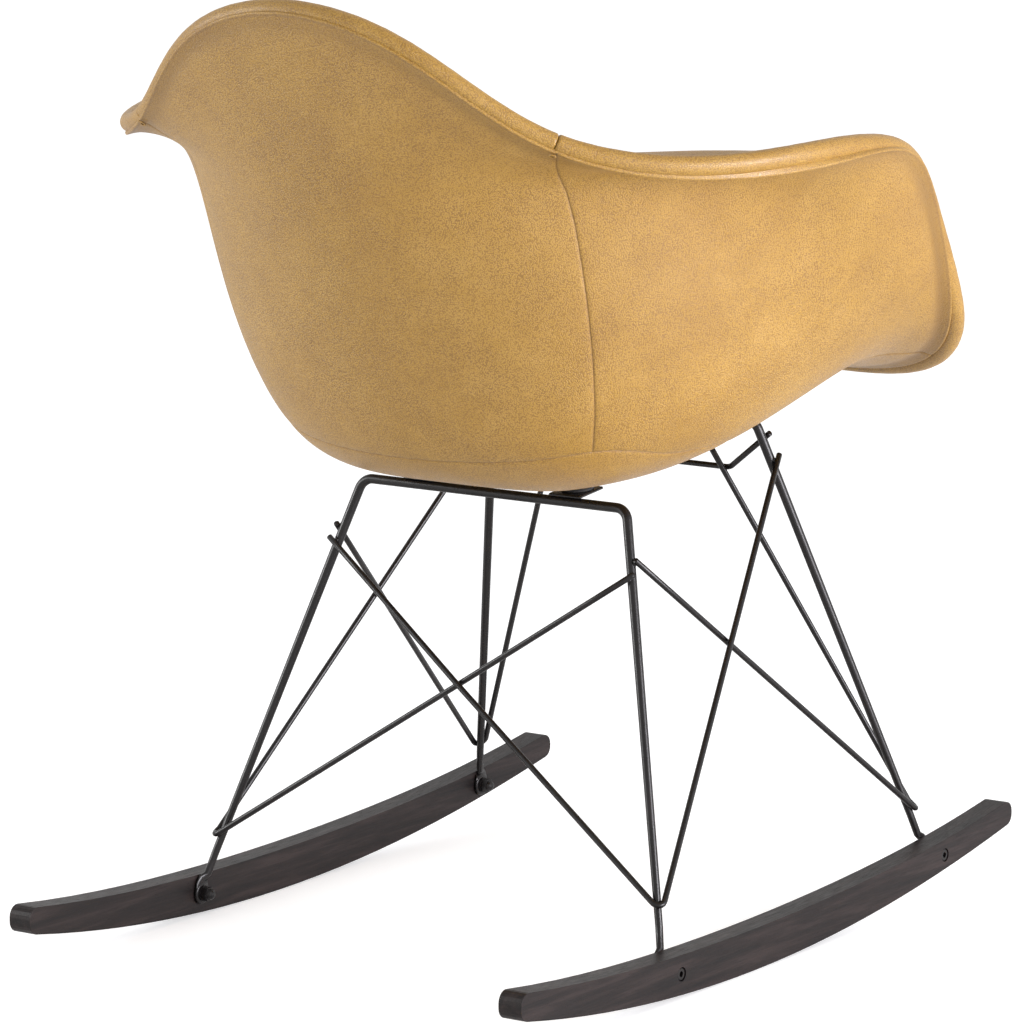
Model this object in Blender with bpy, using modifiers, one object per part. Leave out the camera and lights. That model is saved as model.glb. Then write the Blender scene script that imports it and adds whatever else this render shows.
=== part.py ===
"""Rocking armchair: a one-piece upholstered bucket shell on a steel-rod base with wooden rockers.

Metres, +Z up.  The sitter faces -Y, so the sitter's left is +X.  The parts are drawn from the line
where the rockers touch the floor at rest, then moved so that the origin is on the floor under the
middle of the rockers' length.
"""
import math

import bmesh
import bpy
import numpy as np
from mathutils import Matrix, Vector

# ---- driving dimensions ------------------------------------------------------------------------
GAP = 0.0003                     # clearance kept between touching pieces

ROCKER_SPACING = 0.4375          # between the rockers' middle planes
ROCKER_THICKNESS = 0.0195
ROCKER_REAR = 0.2914             # rear end, along Y
ROCKER_FRONT = -0.386            # front end, along Y
ROCKER_EASE = 0.0022             # eased edges
ROCKER_END_RADIUS = 0.0085       # rounded end corners
SOLE_HALF = 0.0125               # the flat under each rocker, where it stands at rest

LEG_TOP_RADIUS = 0.0037
LEG_FOOT_RADIUS = 0.0029
WIRE_RADIUS = 0.00225
REAR_BAR = (0.1192, -0.0031, 0.3343)     # corner of the rear frame: half width, Y, height
REAR_LEAN = (0.2889, 0.2804)             # sideways and rearward run of a rear leg per unit of drop
FRONT_BAR = (0.1201, -0.1764, 0.3780)
FRONT_LEAN = (0.2613, -0.3143)
FRAME_BEND_RADIUS = 0.0115
CROSSBAR_MIDDLE = (0.0830, -0.2005, 0.3344)
CROSSBAR_END = (0.1275, -0.1868, 0.3668)
CROSSBAR_BEND_RADIUS = 0.010

REAR_BOLT = (0.0873, 0.0178)     # Y and height of the rear bolt through a rocker
FRONT_BOLT = (-0.2840, 0.0337)
COUNTERBORE = (0.0053, 0.0045)   # radius and depth
BOLT_HOLE_RADIUS = 0.0032
EYE_RADIUS = 0.0083              # flattened eye at each leg's foot
EYE_THICKNESS = 0.0028

HOOK_RADIUS = 0.0060             # a brace wire's turn around a leg
BRACE_OFFSET = 0.0063            # from a leg's middle to a brace wire lying against it
REAR_HOOK_HEIGHT = 0.0622
FRONT_HOOK_HEIGHT = 0.0683
REAR_CROSS_HEIGHT = 0.2866       # where a rear hook's wire meets the opposite rear leg
REAR_RISE_HEIGHT = 0.3461        # and the front leg on its own side
FRONT_CROSS_HEIGHT = 0.2975      # where a front hook's wire meets the rear leg on its own side

PLATE_SIZE = (0.028, 0.032, 0.0020)
PLATE_X = 0.066
REAR_PLATE_TILT = math.radians(6.0)
FRONT_PLATE_TILT = math.radians(16.0)
MOUNT_RADIUS = 0.0120
SCREW_HOLE_RADIUS = 0.0024

LEATHER = 0.0016                 # shell layers, from the outside in
CORE = 0.0044
COVER = 0.0060
LAYER_GAP = 0.0006
ROLL_CLEARANCE = 0.0010          # kept between the rim roll and the shell's layers
LIP = 0.0040                     # the least run of outer leather past the core

# The shell's outer surface is a soft cage of stations around the seat.  Each station climbs from
# the seat floor to the rim through floor, bend, wall, upper wall, collar, neck and rim, as
# (X, Y, height) in millimetres on the sitter's left; the right side mirrors it.
SEAT_BOTTOM = (0, -50, 345)
STATIONS = (
    # floor, bend, wall, upper wall, collar, rim
    ((0, -146, 377), (0, -196, 398), (0, -248, 402), (0, -295, 396), (0, -319, 393), (0, -343, 401)),
    ((61, -127, 368), (92, -171, 388), (115, -216, 398), (142, -257, 407), (160, -279, 404), (187, -303, 396)),
    ((105, -105, 364), (154, -138, 385), (188, -173, 407), (230, -206, 442), (249, -226, 448), (269, -245, 444)),
    ((132, -78, 362), (187, -97, 392), (221, -118, 434), (266, -141, 494), (282, -160, 515), (283, -176, 544)),
    ((144, -47, 357), (199, -48, 401), (227, -54, 469), (263, -64, 548), (290, -79, 573), (309, -103, 614)),
    ((141, -15, 351), (193, 5, 405), (218, 14, 494), (240, 19, 590), (276, 17, 601), (307, 6, 599)),
    ((125, 18, 347), (169, 54, 397), (196, 78, 498), (204, 101, 602), (229, 107, 610), (257, 118, 593)),
    ((98, 44, 343), (129, 93, 382), (151, 128, 482), (147, 161, 582), (146, 170, 600), (173, 195, 613)),
    ((54, 54, 344), (71, 117, 375), (81, 155, 464), (74, 194, 556), (67, 210, 590), (102, 251, 692)),
    ((0, 55, 346), (0, 126, 373), (0, 163, 455), (0, 205, 546), (0, 225, 590), (0, 268, 722)),
)
# the padded roll at each station: out past the rim edge, in from the outer face, and its radius
ROLL = ((7, 2, 7.0), (6.5, 4.5, 7.2), (-2, 9.5, 7.9), (-2, 10.5, 9.0), (-6, 11.5, 9.6),
        (-10, 10.5, 8.6), (-4.5, 9, 7.2), (-1, 8.5, 6.8), (0, 9.5, 7.8), (-2.5, 10, 8.2))
HALF_TURN = len(STATIONS) - 1    # the station number at the middle of the back
SEAM_STATION = 6.65              # the upright seam, and the joint in the rim roll
FRONT_STATION = 1.5              # the outer cover's front piece ends here
ROWS_BELOW = 4                   # rows of faces below and above the base seam
ROWS_ABOVE = 8
RIM_CROWDING = 1.15              # above 1 draws the rows together towards the rim
COLUMNS_SIDE = 18                # columns from the front's middle to the upright seam
COLUMNS_BACK = 8                 # and from the seam to the back's middle
SEAM_INSET = 0.03                # panel edges stop this part of a face short of their seam


# ---- general helpers ---------------------------------------------------------------------------
def clear_scene():
    for obj in list(bpy.data.objects):
        bpy.data.objects.remove(obj, do_unlink=True)


def new_collection(name):
    collection = bpy.data.collections.new(name)
    bpy.context.scene.collection.children.link(collection)
    return collection


def make_material(name, colour, roughness, metallic=0.0):
    material = bpy.data.materials.new(name)
    material.use_nodes = True
    shader = material.node_tree.nodes["Principled BSDF"]
    shader.inputs["Base Color"].default_value = (*colour, 1.0)
    shader.inputs["Roughness"].default_value = roughness
    shader.inputs["Metallic"].default_value = metallic
    return material


def link(obj, collection, material=None):
    collection.objects.link(obj)
    if material is not None:
        obj.data.materials.clear()
        obj.data.materials.append(material)
    return obj


def mesh_from_bmesh(name, bm):
    mesh = bpy.data.meshes.new(name)
    bm.to_mesh(mesh)
    bm.free()
    return mesh


def curve_to_mesh(curve_object, name):
    """A closed mesh object made from a curve, with its loose end caps welded."""
    bpy.context.view_layer.update()
    depsgraph = bpy.context.evaluated_depsgraph_get()
    mesh = bpy.data.meshes.new_from_object(curve_object.evaluated_get(depsgraph))
    bm = bmesh.new()
    bm.from_mesh(mesh)
    bmesh.ops.remove_doubles(bm, verts=bm.verts, dist=0.00001)
    bm.to_mesh(mesh)
    bm.free()
    matrix = curve_object.matrix_world.copy()
    bpy.data.objects.remove(curve_object, do_unlink=True)
    obj = bpy.data.objects.new(name, mesh)
    obj.matrix_world = matrix
    return obj


def tube(name, points, radii, sides_resolution):
    """A round rod along points; radii is one radius, or one for each point."""
    if not hasattr(radii, "__len__"):
        radii = [radii] * len(points)
    largest = max(radii)
    curve = bpy.data.curves.new(name, "CURVE")
    curve.dimensions = "3D"
    curve.bevel_depth = largest
    curve.bevel_resolution = sides_resolution
    curve.use_fill_caps = True
    spline = curve.splines.new("POLY")
    spline.points.add(len(points) - 1)
    for target, point, radius in zip(spline.points, points, radii):
        target.co = (*point, 1.0)
        target.radius = radius / largest
    return bpy.data.objects.new(name, curve)


def fillet(before, corner, after, radius, steps):
    """Points of the arc that rounds a corner, tangent to both runs."""
    before, corner, after = Vector(before), Vector(corner), Vector(after)
    to_before = (before - corner).normalized()
    to_after = (after - corner).normalized()
    half = to_before.angle(to_after) / 2
    centre = corner + (to_before + to_after).normalized() * (radius / math.sin(half))
    start = (corner + to_before * (radius / math.tan(half)) - centre).normalized()
    end = (corner + to_after * (radius / math.tan(half)) - centre).normalized()
    return [centre + start.slerp(end, i / steps).normalized() * radius for i in range(steps + 1)]


def add_boolean(obj, cutter, operation):
    modifier = obj.modifiers.new(operation.title(), "BOOLEAN")
    modifier.operation = operation
    modifier.object = cutter
    modifier.solver = "EXACT"
    cutter.hide_render = True
    cutter.display_type = "WIRE"


def cylinder_object(name, radius, start, end, sides, collection):
    """A closed cylinder between two points, used as a cutter or a tool for a union."""
    start, end = Vector(start), Vector(end)
    bm = bmesh.new()
    bmesh.ops.create_cone(bm, cap_ends=True, segments=sides, radius1=radius, radius2=radius,
                          depth=(end - start).length)
    obj = bpy.data.objects.new(name, mesh_from_bmesh(name, bm))
    turn = Vector((0, 0, 1)).rotation_difference(end - start).to_matrix().to_4x4()
    obj.matrix_world = Matrix.Translation((start + end) / 2) @ turn
    collection.objects.link(obj)
    return obj


def turned(name, profile, steps, matrix, collection, material):
    """A turned solid: the profile runs down its outer side as (radius, height) pairs."""
    mesh = bpy.data.meshes.new(name)
    mesh.from_pydata([(r, 0.0, z) for r, z in profile], [(i, i + 1) for i in range(len(profile) - 1)], [])
    obj = bpy.data.objects.new(name, mesh)
    obj.matrix_world = matrix
    screw = obj.modifiers.new("Turn", "SCREW")
    screw.axis = "Z"
    screw.steps = steps
    screw.render_steps = steps
    screw.use_merge_vertices = True
    screw.merge_threshold = 0.00001
    return link(obj, collection, material)


def side_name(side):
    return "left" if side > 0 else "right"


# ---- rockers -----------------------------------------------------------------------------------
def rocker_bottom(y):
    return 0.297 * y ** 2 + 0.062 * y ** 3


def rocker_top(y):
    return 0.0315 - 0.0062 * y + 0.153 * y ** 2 + 0.081 * y ** 3 + 0.334 * y ** 4


def rounded_corner(y, curve, below, end_angle):
    """Points that round a rocker's corner, from its long edge to its end face."""
    r = ROCKER_END_RADIUS
    slope = math.atan((curve(y + 0.001) - curve(y - 0.001)) / 0.002)
    centre = curve(y) + (r if below else -r) / math.cos(slope)
    start = math.degrees(slope) + (-90 if below else 90)
    angles = [math.radians(a) for a in np.linspace(start, end_angle, 6)]
    return [(y + r * math.cos(a), centre + r * math.sin(a)) for a in angles]


def rocker_outline():
    """Side view of a rocker as (Y, height) points, with a short flat sole at Y = 0."""
    front, rear = ROCKER_FRONT + ROCKER_END_RADIUS, ROCKER_REAR - ROCKER_END_RADIUS
    lift = rocker_bottom(SOLE_HALF)
    points = [(y, max(rocker_bottom(y) - lift, 0.0)) for y in np.linspace(front, -SOLE_HALF, 15)[1:-1]]
    points += [(-SOLE_HALF, 0.0), (SOLE_HALF, 0.0)]
    points += [(y, max(rocker_bottom(y) - lift, 0.0)) for y in np.linspace(SOLE_HALF, rear, 12)[1:-1]]
    points += rounded_corner(rear, rocker_bottom, True, 0)
    points += rounded_corner(rear, rocker_top, False, 0)[::-1]
    points += [(y, rocker_top(y)) for y in np.linspace(rear, front, 22)[1:-1]]
    points += rounded_corner(front, rocker_top, False, 180)
    points += rounded_corner(front, rocker_bottom, True, -180)[::-1]
    return points


def make_rocker(side, parts, tools, material):
    name = "rocker_" + side_name(side)
    curve = bpy.data.curves.new(name, "CURVE")
    curve.dimensions = "2D"
    curve.fill_mode = "BOTH"
    curve.extrude = ROCKER_THICKNESS / 2
    outline = rocker_outline()
    spline = curve.splines.new("POLY")
    spline.points.add(len(outline) - 1)
    for target, (y, z) in zip(spline.points, outline):
        target.co = (y, z, 0.0, 1.0)
    spline.use_cyclic_u = True
    drawn = bpy.data.objects.new(name + "_outline", curve)
    # the outline's plane is turned upright: its X runs along Y, its Y runs up
    drawn.matrix_world = Matrix(((0, 0, 1, side * ROCKER_SPACING / 2), (1, 0, 0, 0), (0, 1, 0, 0), (0, 0, 0, 1)))
    bpy.context.scene.collection.objects.link(drawn)
    rocker = link(curve_to_mesh(drawn, name), parts, material)
    ease = rocker.modifiers.new("Ease", "BEVEL")
    ease.width = ROCKER_EASE
    ease.segments = 2
    ease.limit_method = "ANGLE"
    ease.angle_limit = math.radians(50)
    outer = side * (ROCKER_SPACING + ROCKER_THICKNESS) / 2
    for place, (y, z) in (("rear", REAR_BOLT), ("front", FRONT_BOLT)):
        label = name + "_" + place
        hole = cylinder_object(label + "_hole", BOLT_HOLE_RADIUS, (outer + side * 0.005, y, z),
                               (outer - side * (ROCKER_THICKNESS + 0.005), y, z), 16, tools)
        add_boolean(rocker, hole, "DIFFERENCE")
        bore = cylinder_object(label + "_bore", COUNTERBORE[0], (outer + side * 0.005, y, z),
                               (outer - side * COUNTERBORE[1], y, z), 20, tools)
        add_boolean(rocker, bore, "DIFFERENCE")
    return rocker


# ---- steel base --------------------------------------------------------------------------------
def leg_point(bar, lean, side, z, out=(0.0, 0.0)):
    """Middle of a leg at height z, moved by out = (sideways, along Y)."""
    drop = bar[2] - z
    return Vector((side * (bar[0] + lean[0] * drop + out[0]), bar[1] + lean[1] * drop + out[1], z))


def make_leg_frame(name, bar, lean, bolt, parts, tools, material):
    """One thick rod: two splayed legs joined by a bar, each foot flattened into a drilled eye."""
    eye_x = (ROCKER_SPACING - ROCKER_THICKNESS) / 2 - GAP - EYE_THICKNESS / 2
    half_points = [Vector((eye_x, bolt[0], bolt[1] + 0.003)),
                   Vector((eye_x, bolt[0], bolt[1] + 0.0074))]
    half_radii = [0.0012, 0.0013]
    foot = leg_point(bar, lean, 1, bolt[1] + 0.0145)
    foot.x = min(foot.x, eye_x + EYE_THICKNESS / 2 - LEG_FOOT_RADIUS)
    half_points.append(foot)
    half_radii.append(LEG_FOOT_RADIUS)
    for height in (0.10, 0.20, 0.28):
        share = (height - 0.03) / (bar[2] - 0.03)
        half_points.append(leg_point(bar, lean, 1, height))
        half_radii.append(LEG_FOOT_RADIUS + (LEG_TOP_RADIUS - LEG_FOOT_RADIUS) * share)
    bend = fillet(half_points[-1], Vector(bar), Vector((0, bar[1], bar[2])), FRAME_BEND_RADIUS, 6)
    half_points += bend
    half_radii += [LEG_TOP_RADIUS] * len(bend)
    mirrored = [Vector((-p.x, p.y, p.z)) for p in reversed(half_points)]
    rod = tube(name + "_rod", half_points + mirrored, half_radii + half_radii[::-1], 4)
    bpy.context.scene.collection.objects.link(rod)
    frame = link(curve_to_mesh(rod, name), parts, material)
    for side in (1, -1):
        face = side * (eye_x + EYE_THICKNESS / 2)
        back = side * (eye_x - EYE_THICKNESS / 2)
        eye = cylinder_object(name + "_eye_" + side_name(side), EYE_RADIUS, (face, *bolt), (back, *bolt), 24, tools)
        add_boolean(frame, eye, "UNION")
    for side in (1, -1):
        hole = cylinder_object(name + "_hole_" + side_name(side), BOLT_HOLE_RADIUS,
                               (side * (eye_x + 0.01), *bolt), (side * (eye_x - 0.01), *bolt), 16, tools)
        add_boolean(frame, hole, "DIFFERENCE")
    return frame


def hook_points(bar, lean, side, height, along, start_angle, end_angle, rises):
    """Wire points around a leg's outer side, lowest in the middle.

    Angles are seen from above, from the outward direction towards +Y times along.
    """
    points = []
    steps = 6
    for i in range(steps + 1):
        t = i / steps
        angle = math.radians(start_angle + (end_angle - start_angle) * t)
        lift = rises[0] * (1 - t) ** 2 * (1 - t) + rises[1] * t ** 3
        out = (HOOK_RADIUS * math.cos(angle), along * HOOK_RADIUS * math.sin(angle))
        points.append(leg_point(bar, lean, side, height + lift, out))
    return points


def extended(start, end, extra):
    return end + (end - start).normalized() * extra


def make_rear_brace(side, parts, material):
    """A wire hooked around a rear leg: one arm to the front leg, one to the opposite rear leg."""
    hook = hook_points(REAR_BAR, REAR_LEAN, side, REAR_HOOK_HEIGHT, 1, -12, 98, (0.0035, 0.0030))
    front_end = leg_point(FRONT_BAR, FRONT_LEAN, side, REAR_RISE_HEIGHT, (BRACE_OFFSET, 0.0))
    cross_end = leg_point(REAR_BAR, REAR_LEAN, -side, REAR_CROSS_HEIGHT, (0.0, BRACE_OFFSET))
    # the two wires pass each other in the middle, the right one behind the left one
    middle = hook[-1].lerp(cross_end, hook[-1].x / (hook[-1].x - cross_end.x))
    middle.y -= side * (WIRE_RADIUS + GAP)
    points = [extended(hook[0], front_end, 0.0065)] + hook + [middle, extended(middle, cross_end, 0.0065)]
    return link(tube("rear_brace_" + side_name(side), points, WIRE_RADIUS, 2), parts, material)


def make_front_brace(side, parts, material):
    """A wire hooked around a front leg: one arm to the rear leg, one up to the front bar."""
    hook = hook_points(FRONT_BAR, FRONT_LEAN, side, FRONT_HOOK_HEIGHT, -1, -12, 98, (0.0035, 0.0060))
    rear_end = leg_point(REAR_BAR, REAR_LEAN, side, FRONT_CROSS_HEIGHT, (BRACE_OFFSET, 0.0))
    up_end = Vector((side * 0.0625, FRONT_BAR[1] - 0.0070, FRONT_BAR[2] - 0.0065))
    points = [extended(hook[0], rear_end, 0.0060)] + hook + [up_end]
    return link(tube("front_brace_" + side_name(side), points, WIRE_RADIUS, 2), parts, material)


def make_crossbar(parts, material):
    """A wire across the front legs, dropped in the middle."""
    end, middle = Vector(CROSSBAR_END), Vector(CROSSBAR_MIDDLE)
    bend = fillet(end, middle, Vector((0, middle.y, middle.z)), CROSSBAR_BEND_RADIUS, 5)
    half = [end] + bend
    mirrored = [Vector((-p.x, p.y, p.z)) for p in reversed(half)]
    return link(tube("front_crossbar", half + mirrored, WIRE_RADIUS, 2), parts, material)


# ---- fasteners at the rockers ------------------------------------------------------------------
def inward_frame(side, y, z):
    """Local +Z points from a rocker's outer face towards the chair's middle."""
    outer = side * (ROCKER_SPACING + ROCKER_THICKNESS) / 2
    turn = Vector((0, 0, 1)).rotation_difference(Vector((-side, 0, 0))).to_matrix().to_4x4()
    return Matrix.Translation((outer, y, z)) @ turn


def make_rocker_fasteners(place, side, bolt, parts, tools, material):
    suffix = "_" + place + "_" + side_name(side)
    frame = inward_frame(side, *bolt)
    head = COUNTERBORE[1] - GAP
    tip = 0.0302
    profile = [(0.0, tip), (0.0024, tip), (0.0029, tip - 0.0006), (0.0029, head), (0.0047, head),
               (0.0047, head - 0.0032), (0.0043, head - 0.0036), (0.0023, head - 0.0036),
               (0.0023, head - 0.0012), (0.0, head - 0.0012)]
    turned("rocker_bolt" + suffix, profile, 12, frame, parts, material)
    washer_start = ROCKER_THICKNESS + EYE_THICKNESS + 2 * GAP
    low, high = washer_start, washer_start + 0.0012
    ring = [(0.0032, high), (0.0062, high), (0.0062, low), (0.0032, low), (0.0032, high)]
    turned("rocker_washer" + suffix, ring, 16, frame, parts, material)
    nut_start = high + GAP
    bm = bmesh.new()
    bmesh.ops.create_cone(bm, cap_ends=True, segments=6, radius1=0.0058, radius2=0.0058, depth=0.0046)
    bmesh.ops.translate(bm, verts=bm.verts, vec=(0, 0, nut_start + 0.0023))
    nut = bpy.data.objects.new("rocker_nut" + suffix, mesh_from_bmesh("rocker_nut" + suffix, bm))
    nut.matrix_world = frame
    link(nut, parts, material)
    base = nut_start + 0.0040
    dome = [(0.0, base + 0.0046), (0.0022, base + 0.0041), (0.0036, base + 0.0029), (0.0043, base + 0.0010),
            (0.0043, base), (0.0, base)]
    cap = turned("rocker_nut_dome" + suffix, dome, 12, frame, tools, None)
    add_boolean(nut, cap, "UNION")
    bore = cylinder_object("rocker_nut_bore" + suffix, BOLT_HOLE_RADIUS, frame @ Vector((0, 0, nut_start - 0.001)),
                           frame @ Vector((0, 0, tip + 0.0004)), 12, tools)
    add_boolean(nut, bore, "DIFFERENCE")


# ---- seat plates, mounts and screws -------------------------------------------------------------
def make_seat_fixing(place, side, bar, tilt, slide, mount_thickness, parts, tools, steel, rubber):
    """A plate on a frame's bar, a rubber disc under the shell and the screw through both."""
    suffix = "_" + place + "_" + side_name(side)
    turn = Matrix.Rotation(-tilt, 4, "X")
    lift = LEG_TOP_RADIUS + GAP
    frame = Matrix.Translation((side * PLATE_X, bar[1], bar[2])) @ turn
    bm = bmesh.new()
    bmesh.ops.create_cube(bm, size=1.0)
    bmesh.ops.scale(bm, verts=bm.verts, vec=PLATE_SIZE)
    bmesh.ops.translate(bm, verts=bm.verts, vec=(0, slide, lift + PLATE_SIZE[2] / 2))
    plate = bpy.data.objects.new("seat_plate" + suffix, mesh_from_bmesh("seat_plate" + suffix, bm))
    plate.matrix_world = frame
    link(plate, parts, steel)
    round_corners = plate.modifiers.new("Corners", "BEVEL")
    round_corners.width = 0.0006
    round_corners.segments = 1
    screw_y = slide - 0.0030
    hole = cylinder_object("seat_plate_hole" + suffix, SCREW_HOLE_RADIUS, frame @ Vector((0, screw_y, lift - 0.004)),
                           frame @ Vector((0, screw_y, lift + 0.006)), 12, tools)
    add_boolean(plate, hole, "DIFFERENCE")
    top = lift + PLATE_SIZE[2] + GAP
    centre = frame @ Matrix.Translation((0, screw_y, 0))
    high, low = top + mount_thickness, top
    ring = [(SCREW_HOLE_RADIUS, high), (MOUNT_RADIUS - 0.0006, high), (MOUNT_RADIUS, high - 0.0006),
            (MOUNT_RADIUS, low), (SCREW_HOLE_RADIUS, low), (SCREW_HOLE_RADIUS, high)]
    turned("seat_mount" + suffix, ring, 20, centre, parts, rubber)
    shank_top = high - 0.0004
    head_top = lift - GAP
    profile = [(0.0, shank_top), (0.0020, shank_top), (0.0020, head_top), (0.0040, head_top),
               (0.0040, head_top - 0.0014), (0.0028, head_top - 0.0022), (0.0, head_top - 0.0022)]
    turned("seat_screw" + suffix, profile, 12, centre, parts, steel)


# ---- shell -------------------------------------------------------------------------------------
def clamped_weights(count, t):
    """Cubic B-spline weights of count points, clamped at both ends, for t in 0..1."""
    knots = [0.0] * 3 + list(np.linspace(0, 1, count - 2)) + [1.0] * 3
    t = min(t, 1.0 - 1e-9)
    weights = [1.0 if knots[i] <= t < knots[i + 1] else 0.0 for i in range(len(knots) - 1)]
    for degree in (1, 2, 3):
        raised = []
        for i in range(len(weights) - 1):
            left = knots[i + degree] - knots[i]
            right = knots[i + degree + 1] - knots[i + 1]
            value = (t - knots[i]) / left * weights[i] if left else 0.0
            value += (knots[i + degree + 1] - t) / right * weights[i + 1] if right else 0.0
            raised.append(value)
        weights = raised
    return np.array(weights)


def ring_weights(count, t):
    """Uniform cubic B-spline weights of count points on a closed ring."""
    base = math.floor(t)
    f = t - base
    blend = ((1 - f) ** 3 / 6, (3 * f ** 3 - 6 * f * f + 4) / 6, (-3 * f ** 3 + 3 * f * f + 3 * f + 1) / 6, f ** 3 / 6)
    weights = np.zeros(count)
    for offset, value in zip((-1, 0, 1, 2), blend):
        weights[(base + offset) % count] += value
    return weights


def shell_cage():
    """The cage all the way round, as an array of stations by rows by XYZ, in metres."""
    bottom = np.array(SEAT_BOTTOM, float)
    half = []
    for station in STATIONS:
        floor = np.array(station[0], float)
        near = bottom + 0.40 * (floor - bottom)
        near[2] = bottom[2] - 0.06 * (near[1] - bottom[1])
        half.append([bottom, near] + [np.array(p, float) for p in station])
    half = np.array(half)
    mirrored = half[1:-1][::-1] * np.array([-1, 1, 1])
    return np.concatenate([half, mirrored]) / 1000.0


CAGE = shell_cage()


def shell_point(u, v):
    """Outer surface point: u climbs from the seat bottom (0) to the rim (1), v counts stations."""
    across = ring_weights(CAGE.shape[0], v)
    along = clamped_weights(CAGE.shape[1], u)
    return np.einsum("i,j,ijk->k", across, along, CAGE)


def shell_normal(u, v):
    """Unit normal, pointing out of the bucket."""
    step = 0.002
    low, high = max(u - step, 0.004), min(max(u, 0.004) + step, 1.0)
    up = shell_point(high, v) - shell_point(low, v)
    around = shell_point(max(u, 0.004), v + 0.01) - shell_point(max(u, 0.004), v - 0.01)
    normal = np.cross(around, up)
    return normal / np.linalg.norm(normal)


def base_seam(v):
    """The u of the seam between the base and the walls: higher round the back than at the sides."""
    away = abs(v - HALF_TURN)
    s = min(max((away - 2.1) / 2.1, 0.0), 1.0)
    return 0.373 - 0.073 * s * s * (3 - 2 * s)


def shell_columns():
    side = list(np.linspace(0, SEAM_STATION, COLUMNS_SIDE + 1))
    back = list(np.linspace(SEAM_STATION, HALF_TURN, COLUMNS_BACK + 1))[1:]
    half = side + back
    return half + [2 * HALF_TURN - v for v in half[1:-1][::-1]]


def shell_grid():
    """Outer points and normals on rows that follow the base seam and columns that hold the seams."""
    columns = shell_columns()
    points, normals = [], []
    for row in range(ROWS_BELOW + ROWS_ABOVE + 1):
        line, facing = [], []
        for v in columns:
            seam = base_seam(v)
            if row <= ROWS_BELOW:
                u = seam * row / ROWS_BELOW
            elif row < ROWS_BELOW + ROWS_ABOVE:
                share = (row - ROWS_BELOW) / (ROWS_ABOVE - 1)
                u = seam + (inner_end(v) - seam) * (1 - (1 - share) ** RIM_CROWDING)
            else:
                u = 1.0
            line.append(shell_point(u, v))
            facing.append(shell_normal(u, v))
        points.append(line)
        normals.append(facing)
    return np.array(points), np.array(normals)


def shell_layer(name, grid, rows, columns, depth, thickness, inset, parts, material):
    """A solidified piece of the shell: rows and columns are first and last grid lines.

    inset holds the four edges that stop short of a seam: low row, high row, first and last column.
    """
    points, normals = grid
    surface = points - normals * depth
    count = surface.shape[1]
    for number, v in enumerate(shell_columns()):
        back = surface[-2, number] - surface[-1, number]
        share = leather_setback(v) / np.linalg.norm(back)
        surface[-1, number] += back * min(share, 0.8)
    row_list = list(range(rows[0], rows[1] + 1))
    closed = columns is None
    column_list = list(range(count)) if closed else list(range(columns[0], columns[1] + 1))
    fine_rows = [float(r) for r in row_list]
    fine_columns = [float(c) for c in column_list]
    if inset[0]:
        fine_rows[0] += SEAM_INSET
    if inset[1]:
        fine_rows[-1] -= SEAM_INSET
    if inset[2]:
        fine_columns[0] += SEAM_INSET
    if inset[3]:
        fine_columns[-1] -= SEAM_INSET

    def sample(r, c):
        r0, c0 = min(math.floor(r), surface.shape[0] - 2), math.floor(c)
        fr, fc = r - r0, c - c0
        near = surface[r0, c0 % count] * (1 - fr) + surface[r0 + 1, c0 % count] * fr
        far = surface[r0, (c0 + 1) % count] * (1 - fr) + surface[r0 + 1, (c0 + 1) % count] * fr
        return Vector(near * (1 - fc) + far * fc)

    bm = bmesh.new()
    table = []
    for r in fine_rows:
        if r == 0.0:
            table.append([bm.verts.new(Vector(surface[0, 0]))] * len(fine_columns))
        else:
            table.append([bm.verts.new(sample(r, c)) for c in fine_columns])
    width = len(fine_columns)
    for i in range(len(table) - 1):
        for j in range(width if closed else width - 1):
            a, b = table[i][j], table[i][(j + 1) % width]
            c, d = table[i + 1][(j + 1) % width], table[i + 1][j]
            if a is b:
                bm.faces.new((a, c, d))
            else:
                bm.faces.new((a, b, c))
                bm.faces.new((a, c, d))
    obj = bpy.data.objects.new(name, mesh_from_bmesh(name, bm))
    solid = obj.modifiers.new("Thickness", "SOLIDIFY")
    solid.thickness = thickness
    solid.offset = -1.0
    return link(obj, parts, material)


def roll_section(v):
    """The roll's place out past the edge, its place in from the outer face and its radius."""
    places = v + np.linspace(-0.4, 0.4, 5)
    stations = HALF_TURN - np.abs(places % (2 * HALF_TURN) - HALF_TURN)
    return [np.mean(np.interp(stations, range(len(ROLL)), column)) / 1000.0 for column in zip(*ROLL)]


def rim_edge(v):
    """A point of the rim edge, the direction out past it and the way out of the bucket."""
    edge = shell_point(1.0, v)
    out = edge - shell_point(0.99, v)
    return edge, out / np.linalg.norm(out), shell_normal(1.0, v)


def inner_end(v):
    """The u where the core and the cover end, behind the roll."""
    out, _, radius = roll_section(v)
    height = np.linalg.norm(shell_point(1.0, v) - shell_point(0.99, v)) / 0.01
    return 1.0 - max(radius - out + ROLL_CLEARANCE, LIP) / height


def leather_setback(v):
    """How far the outer leather stops short of the rim edge where the roll would touch it."""
    out, inward, radius = roll_section(v)
    reach = radius ** 2 - max(inward - LEATHER, 0.0) ** 2
    return max(math.sqrt(reach) - out, 0.0) if reach > 0 else 0.0


def rim_roll_run(v):
    """Middle and radius of the padded roll beside the rim edge."""
    edge, out_way, normal = rim_edge(v)
    out, inward, radius = roll_section(v)
    return Vector(edge + out_way * out - normal * (inward + ROLL_CLEARANCE / 2)), radius - ROLL_CLEARANCE


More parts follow.
